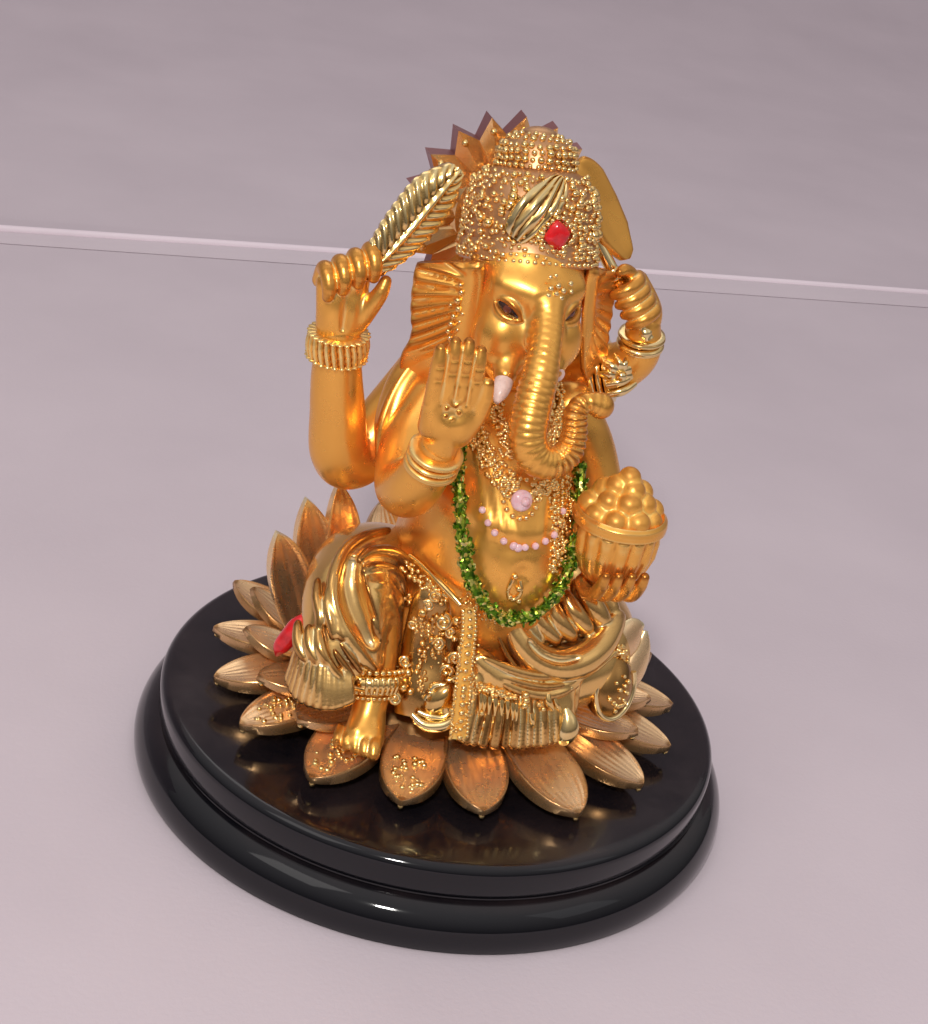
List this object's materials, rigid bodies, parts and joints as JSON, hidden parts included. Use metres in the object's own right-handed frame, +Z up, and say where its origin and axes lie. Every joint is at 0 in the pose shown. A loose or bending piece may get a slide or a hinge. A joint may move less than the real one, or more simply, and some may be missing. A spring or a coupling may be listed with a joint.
{
  "type": "seated elephant-headed deity figurine",
  "caption": "Gilt figurine of a seated elephant-headed deity with several arms and a tall crown, on a lotus seat fixed to a round black plinth.",
  "frame": {"origin": "centre of the plinth's underside, on the surface that the object stands on", "axes": "+Z up, the figure faces -Y, and +X is towards the figure's own left hand"},
  "size_m": [0.0932, 0.0932, 0.1027],
  "materials": {
    "satin_gold": "satin metallic gold film on cast resin",
    "gloss_gold": "bright metallic gold plating on cast resin",
    "bronze_gold": "bronze-gold plating on cast resin, brighter along the edges",
    "amber_gold": "orange-gold metallic film on cast resin",
    "black_lacquer": "gloss black lacquer",
    "green_glitter": "green glitter paint over gold",
    "red_enamel": "gloss red enamel",
    "pink_stone": "pale pink translucent stone",
    "ivory_paint": "pinkish ivory paint",
    "felt": "dark green felt",
    "steel": "plain zinc-plated steel"
  },
  "bodies": {
    "root": {"plinth": "black_lacquer", "felt_pad": "felt", "fixing_screw": "steel", "lotus_core": "bronze_gold", "lotus_petals_outer": "bronze_gold", "lotus_petals_inner": "bronze_gold", "torso": "satin_gold", "head": "satin_gold", "trunk": "satin_gold", "tusk_right": "ivory_paint", "tusk_left": "ivory_paint", "ear_right": "satin_gold", "ear_left": "satin_gold", "crown_band": "gloss_gold", "crown_dome": "gloss_gold", "crown_beads": "gloss_gold", "crown_leaf": "gloss_gold", "crown_gem": "red_enamel", "halo": "bronze_gold", "arm_front_right": "satin_gold", "hand_front_right": "satin_gold", "cuff_front_right": "gloss_gold", "arm_rear_right": "satin_gold", "hand_rear_right": "satin_gold", "cuff_rear_right": "gloss_gold", "plume": "gloss_gold", "arm_front_left": "satin_gold", "hand_front_left": "satin_gold", "bowl": "satin_gold", "sweets": "amber_gold", "arm_rear_left": "satin_gold", "hand_rear_left": "satin_gold", "cuff_rear_left": "gloss_gold", "armlet_rear_left": "gloss_gold", "axe_handle": "gloss_gold", "axe_head": "gloss_gold", "dhoti_right": "gloss_gold", "shin_right": "satin_gold", "foot_right": "satin_gold", "anklet_right": "gloss_gold", "dhoti_left": "gloss_gold", "foot_left": "satin_gold", "knee_boss_left": "gloss_gold", "apron": "gloss_gold", "waist_belt": "gloss_gold", "sash": "gloss_gold", "garland": "green_glitter", "necklace": "gloss_gold", "pendant": "pink_stone", "pearl_strand": "pink_stone", "shawl": "satin_gold", "red_bud": "red_enamel"}
  },
  "joints": []
}
